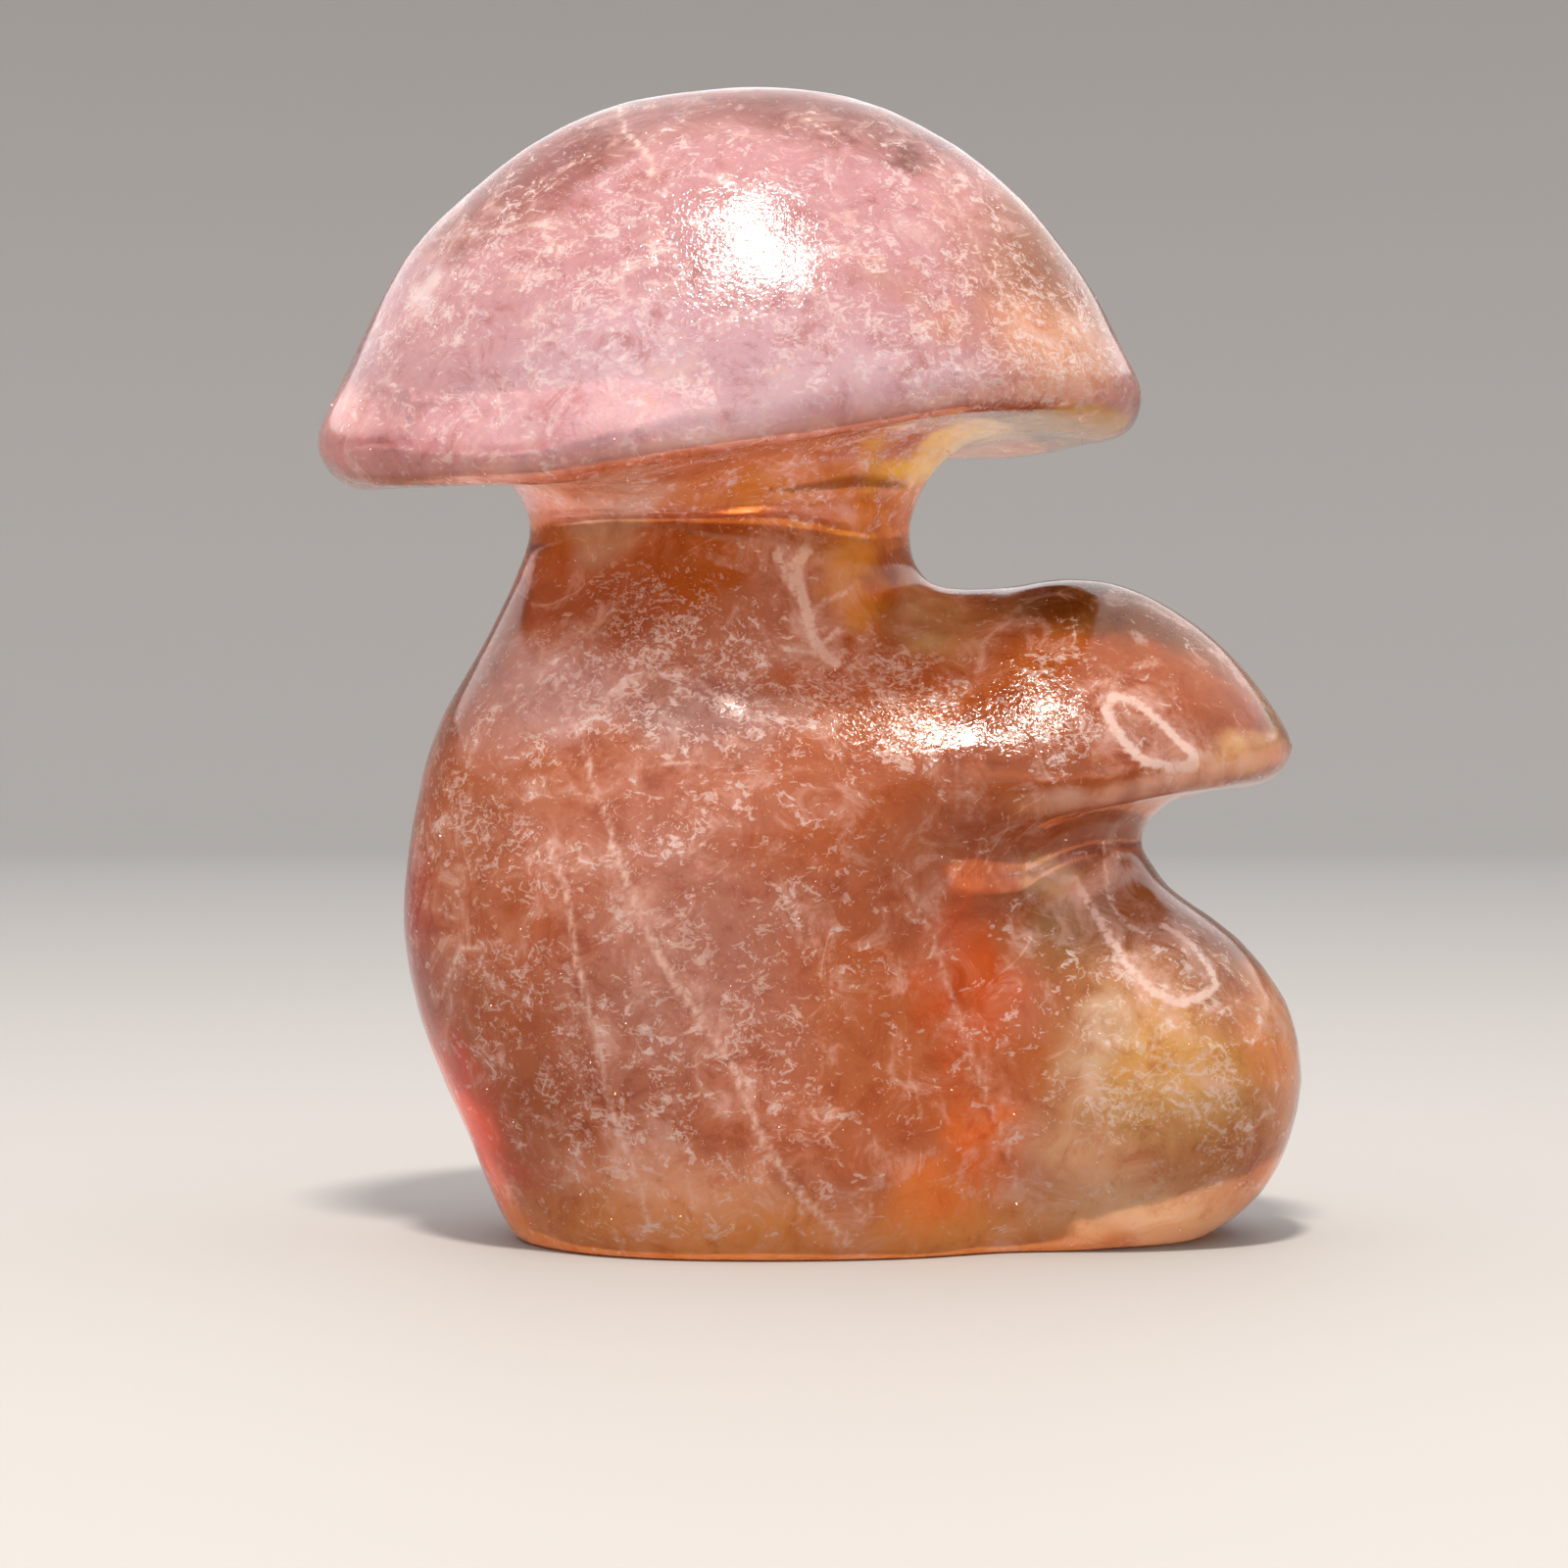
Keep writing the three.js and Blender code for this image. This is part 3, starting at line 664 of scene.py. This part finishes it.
class CARVING_OT_stone(bpy.types.Operator):
    """Makes the polished stone from a copy of its solid"""

    bl_idname = "carving.stone"
    bl_label = "Polished stone"

    def execute(self, context):
        settings = context.scene.carving_stone
        only(frame["nodes"][NODE])
        bpy.ops.object.duplicate()
        stone = context.object
        stone.name = stone.data.name = "fluorite_stone"
        drop_tags(stone)
        bpy.ops.object.mode_set(mode="EDIT")
        bpy.ops.mesh.select_all(action="SELECT")
        bpy.ops.mesh.remove_doubles(threshold=0.002 * MM)
        bpy.ops.object.mode_set(mode="OBJECT")
        modify(stone, "REMESH", mode="VOXEL", voxel_size=settings.grid)
        modify(stone, "SMOOTH", factor=0.5, iterations=settings.polish_passes)
        texture = bpy.data.textures.new("hand_ground_waves", "CLOUDS")
        texture.noise_scale = settings.wave_length
        only(stone)
        standing = stone.vertex_groups.new(name="off_the_foot")
        heights = points_of(stone)[:, 2]
        free = [int(i) for i in np.nonzero(heights > 1.0)[0]]
        standing.add(free, 1.0, "REPLACE")
        modify(stone, "DISPLACE", texture=texture, strength=settings.wave_height, mid_level=0.5,
               vertex_group=standing.name)
        stone.vertex_groups.clear()
        bpy.ops.object.shade_smooth()
        skin = BVHTree.FromObject(stone, context.evaluated_depsgraph_get())
        growth = zone_and_glow_colours(points_of(stone), normals_of(stone))
        layer = stone.data.color_attributes.new("zones_and_painted_glow", "FLOAT_COLOR", "POINT")
        layer.data.foreach_set("color", np.column_stack([growth, np.ones(len(growth))]).ravel())
        bend = bend_values(stone, settings.grid / MM)
        # The sharp lips of the caps get a painted pale highlight.
        store(stone, "painted_lip_highlight", smoothstep((bend - 0.19) / 0.12) * smoothstep(points_of(stone)[:, 2] / 2 - 2))
        lines, haze = crack_values(stone, skin)
        store(stone, "healed_crack", lines)
        store(stone, "crack_haze", haze)
        store(stone, "fleck_crowd", crowd_values(stone, CAP_CLOUDS + STEM_CLOUDS) / MOST_FLECKS)
        store(stone, "broken_polish", cloud_values(points_of(stone), BROKEN_POLISH, 0.12))
        stone.data.materials.clear()
        stone.data.materials.append(fluorite_material(settings))
        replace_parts(stone, NODE)
        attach(stone, BODY)
        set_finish(stone, SLOT)
        return {"FINISHED"}


def drop_tags(piece):
    """Frees a duplicate from what its original said about the frame."""
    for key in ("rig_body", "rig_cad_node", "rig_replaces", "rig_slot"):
        if key in piece:
            del piece[key]
    piece.parent = None


def make_fleck():
    """One fleck 1 m long, to be scaled down: a thin sliver of a dozen faces, pointed at both ends."""
    bpy.ops.object.select_all(action="DESELECT")
    bpy.ops.mesh.primitive_uv_sphere_add(segments=4, ring_count=2, radius=0.5)
    fleck = bpy.context.object
    bpy.ops.object.mode_set(mode="EDIT")
    bpy.ops.mesh.select_all(action="SELECT")
    bpy.ops.transform.resize(value=(1.0, 0.32, 0.16))
    bpy.ops.object.mode_set(mode="OBJECT")
    return fleck


def scatter(piece, name, fleck, material, per_area, deepest, sizes, tumble, seed):
    """Turns a piece into flecks scattered over its faces, per_area times the crowd attribute in each square metre.

    They lie up to deepest under the face, and tumble is the most that one is turned from lying flat."""
    group = bpy.data.node_groups.new(name, "GeometryNodeTree")
    group.interface.new_socket("Geometry", in_out="INPUT", socket_type="NodeSocketGeometry")
    group.interface.new_socket("Geometry", in_out="OUTPUT", socket_type="NodeSocketGeometry")
    source = add(group, "NodeGroupInput")
    crowd = add(group, "GeometryNodeInputNamedAttribute", {"Name": "crowd"})
    density = add(group, "ShaderNodeMath", {0: crowd, 1: per_area}, operation="MULTIPLY")
    spread = add(group, "GeometryNodeDistributePointsOnFaces", {"Mesh": source, "Density": density, "Seed": seed})
    normal, flat = spread.node.outputs["Normal"], spread.node.outputs["Rotation"]
    chance = add(group, "FunctionNodeRandomValue", {"Seed": seed + 1}, data_type="FLOAT").node.outputs[1]
    chance = add(group, "ShaderNodeMath", {0: chance, 1: 2.0}, operation="POWER")
    depth = add(group, "ShaderNodeMapRange", {"Value": chance, "From Min": 0.0, "From Max": 1.0,
                                              "To Min": -0.12 * MM, "To Max": -deepest})
    shift = add(group, "ShaderNodeVectorMath", {0: normal, "Scale": depth}, operation="SCALE")
    placed = add(group, "GeometryNodeSetPosition", {"Geometry": spread, "Offset": shift})
    turn = add(group, "FunctionNodeRandomValue", {"Min": (-tumble, -tumble, -math.pi),
                                                  "Max": (tumble, tumble, math.pi), "Seed": seed + 2},
               data_type="FLOAT_VECTOR").node.outputs[0]
    turned = add(group, "FunctionNodeRotateRotation", {0: flat, 1: turn}, rotation_space="LOCAL")
    chance = add(group, "FunctionNodeRandomValue", {"Seed": seed + 3}, data_type="FLOAT").node.outputs[1]
    chance = add(group, "ShaderNodeMath", {0: chance, 1: 2.5}, operation="POWER")
    size = add(group, "ShaderNodeMapRange", {"Value": chance, "From Min": 0.0, "From Max": 1.0,
                                             "To Min": sizes[0], "To Max": sizes[1]})
    pattern = add(group, "GeometryNodeObjectInfo", {"Object": fleck}).node.outputs["Geometry"]
    copies = add(group, "GeometryNodeInstanceOnPoints", {"Points": placed, "Instance": pattern,
                                                         "Rotation": turned, "Scale": size})
    real = add(group, "GeometryNodeRealizeInstances", {"Geometry": copies})
    painted = add(group, "GeometryNodeSetMaterial", {"Geometry": real, "Material": material})
    add(group, "NodeGroupOutput", {0: painted})
    only(piece)
    modifier = piece.modifiers.new("scatter", "NODES")
    modifier.node_group = group
    bpy.ops.object.modifier_apply(modifier=modifier.name)
    piece.data.materials.clear()
    piece.data.materials.append(material)
    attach(piece, BODY)
    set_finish(piece, SLOT)


class CARVING_OT_flecks(bpy.types.Operator):
    """Scatters cleavage flecks under the stone's skin"""

    bl_idname = "carving.flecks"
    bl_label = "Cleavage flecks"

    def execute(self, context):
        settings = context.scene.carving_flecks
        stone = bpy.data.objects["fluorite_stone"]
        material = fleck_material(settings)
        fleck = make_fleck()
        for name, clouds, seed in (("cap_flecks", CAP_CLOUDS, 7), ("stem_flecks", STEM_CLOUDS, 107)):
            only(stone)
            bpy.ops.object.duplicate()
            flecks = context.object
            flecks.name = flecks.data.name = name
            drop_tags(flecks)
            off_the_foot = points_of(flecks)[:, 2] > 0.8
            store(flecks, "crowd", crowd_values(flecks, clouds) * off_the_foot)
            scatter(flecks, name, fleck, material, 1e6, settings.depth, (0.5 * settings.size, 1.4 * settings.size),
                    math.pi, seed)
        bpy.data.objects.remove(fleck)
        return {"FINISHED"}


class CARVING_OT_veils(bpy.types.Operator):
    """Fills the faces of the healed cracks with fine flecks"""

    bl_idname = "carving.veils"
    bl_label = "Fracture veils"

    def execute(self, context):
        settings = context.scene.carving_flecks
        stone = bpy.data.objects["fluorite_stone"]
        skin = BVHTree.FromObject(stone, context.evaluated_depsgraph_get())
        sheets = [self.sheet(on_skin(skin, CRACKS[name][2]), inward, density) for name, inward, density in VEILS]
        bpy.ops.object.select_all(action="DESELECT")
        for sheet in sheets:
            sheet.select_set(True)
        context.view_layer.objects.active = sheets[0]
        bpy.ops.object.join()
        veils = context.object
        veils.name = veils.data.name = "fracture_veils"
        bpy.ops.object.transform_apply(location=True, rotation=True, scale=True)
        fleck = make_fleck()
        scatter(veils, "fracture_veils", fleck, bpy.data.materials["cleavage_flecks"], 1e6, 0.14 * MM,
                (0.35 * settings.size, 1.2 * settings.size), 0.6, 207)
        bpy.data.objects.remove(fleck)
        return {"FINISHED"}

    @staticmethod
    def sheet(samples, inward, density):
        """A crack's face: its line on the skin, drawn into the stone in four steps."""
        line = samples[::6] * MM
        inward = Vector(inward) * MM
        bpy.ops.object.select_all(action="DESELECT")
        bpy.ops.mesh.primitive_plane_add(size=MM, location=Vector(line[0]) + inward * 0.1)
        sheet = bpy.context.object
        bpy.ops.object.mode_set(mode="EDIT")
        bpy.ops.mesh.select_mode(type="VERT")
        bpy.ops.mesh.select_all(action="SELECT")
        bpy.ops.mesh.merge(type="CENTER")
        for before, after in zip(line, line[1:]):
            bpy.ops.mesh.extrude_region_move(TRANSFORM_OT_translate={"value": tuple(after - before)})
        bpy.ops.mesh.select_all(action="SELECT")
        for _ in range(4):
            bpy.ops.mesh.extrude_region_move(TRANSFORM_OT_translate={"value": tuple(inward / 4)})
        # The scatter draws by face number, and extruding numbers the faces differently in each run.
        bpy.ops.mesh.select_all(action="SELECT")
        bpy.ops.mesh.sort_elements(type="CURSOR_DISTANCE", elements={"FACE"})
        bpy.ops.object.mode_set(mode="OBJECT")
        fade = [density * max(0.0, 1 - 0.22 * (i // max(1, len(line)))) for i in range(len(sheet.data.vertices))]
        store(sheet, "crowd", fade)
        return sheet


class CARVING_PT_panel(bpy.types.Panel):
    """Lists the pieces of the carving"""

    bl_label = "Fluorite carving"
    bl_idname = "CARVING_PT_panel"
    bl_space_type = "VIEW_3D"
    bl_region_type = "UI"
    bl_category = "Carving"

    def draw(self, context):
        for title, settings, operator in (
            ("Stage", context.scene.carving_stage, "carving.stage"),
            ("Stone", context.scene.carving_stone, "carving.stone"),
            ("Flecks", context.scene.carving_flecks, "carving.flecks"),
            ("Veils", context.scene.carving_flecks, "carving.veils"),
        ):
            box = self.layout.box()
            box.label(text=title)
            for name in settings.bl_rna.properties.keys():
                if name not in ("rna_type", "name"):
                    box.prop(settings, name)
            box.operator(operator)


CLASSES = (StoneSettings, FleckSettings, StageSettings, CARVING_OT_stage, CARVING_OT_stone, CARVING_OT_flecks,
           CARVING_OT_veils, CARVING_PT_panel)


def register():
    for item in CLASSES:
        bpy.utils.register_class(item)
    bpy.types.Scene.carving_stone = bpy.props.PointerProperty(type=StoneSettings)
    bpy.types.Scene.carving_flecks = bpy.props.PointerProperty(type=FleckSettings)
    bpy.types.Scene.carving_stage = bpy.props.PointerProperty(type=StageSettings)


def unregister():
    del bpy.types.Scene.carving_stone
    del bpy.types.Scene.carving_flecks
    del bpy.types.Scene.carving_stage
    for item in reversed(CLASSES):
        bpy.utils.unregister_class(item)


def main():
    register()
    bpy.ops.carving.stage()
    bpy.ops.carving.stone()
    bpy.ops.carving.flecks()
    bpy.ops.carving.veils()


if __name__ == "__main__":
    main()
